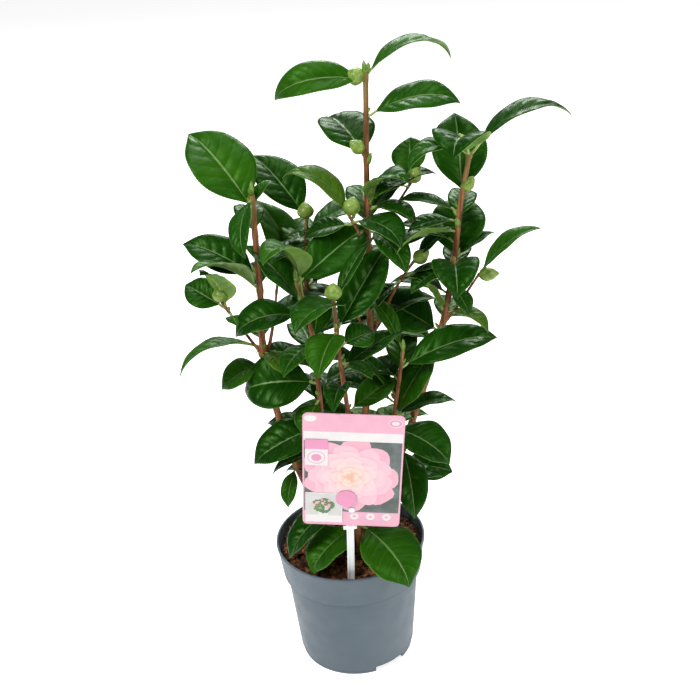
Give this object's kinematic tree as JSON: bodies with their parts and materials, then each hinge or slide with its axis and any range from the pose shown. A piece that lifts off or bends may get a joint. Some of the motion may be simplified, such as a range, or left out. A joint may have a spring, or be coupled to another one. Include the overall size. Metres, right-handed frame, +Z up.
{
  "type": "potted camellia shrub",
  "caption": "Young evergreen camellia with glossy leaves and green buds on slim brown stems, standing in a tapered plastic nursery pot with a blank picture label.",
  "frame": {"origin": "centre of the flat underside of the pot", "axes": "+Z up along the pot's axis, -Y towards the side that carries the label, +X to the right seen from that side"},
  "size_m": [0.3628, 0.1977, 0.6208],
  "materials": {
    "pot_plastic": "matte",
    "potting_soil": "rough",
    "label_card": "satin",
    "stake_plastic": "satin",
    "bark": "rough",
    "foliage": "glossy"
  },
  "bodies": {
    "root": {"pot": "pot_plastic", "soil": "potting_soil", "label_card": "label_card", "label_stake": "stake_plastic", "stem_centre": "bark", "stem_right": "bark", "stem_left": "bark", "stem_front": "bark", "stem_inner": "bark", "stem_middle": "bark", "stem_behind": "bark", "bough_low_right": "bark", "bough_crook": "bark", "bough_high_right": "bark", "bough_low_left": "bark", "bough_left_fork": "bark", "bough_low_centre": "bark", "bough_bud_shoot": "bark", "leaves_centre_low": "foliage", "leaves_centre_heart": "foliage", "leaves_centre_shoulder": "foliage", "leaves_crown_neck": "foliage", "leaves_crown_top": "foliage", "leaves_right_foot": "foliage", "leaves_right_heart": "foliage", "leaves_right_shoulder": "foliage", "leaves_right_apex": "foliage", "leaves_left_foot": "foliage", "leaves_left_heart": "foliage", "leaves_left_shoulder": "foliage", "leaves_left_apex": "foliage", "leaves_front_foot": "foliage", "leaves_front_low": "foliage", "leaves_front_top": "foliage", "leaves_inner_low": "foliage", "leaves_inner_top": "foliage", "leaves_middle_foot": "foliage", "leaves_middle_heart": "foliage", "leaves_middle_top": "foliage", "leaves_back_low": "foliage", "leaves_back_heart": "foliage", "leaves_back_top": "foliage", "leaves_right_reach": "foliage", "leaves_crook_tuft": "foliage", "leaves_high_tuft": "foliage", "leaves_left_reach": "foliage", "leaves_fork_tuft": "foliage", "leaves_low_tuft": "foliage", "leaves_bud_tuft": "foliage"}
  },
  "joints": []
}
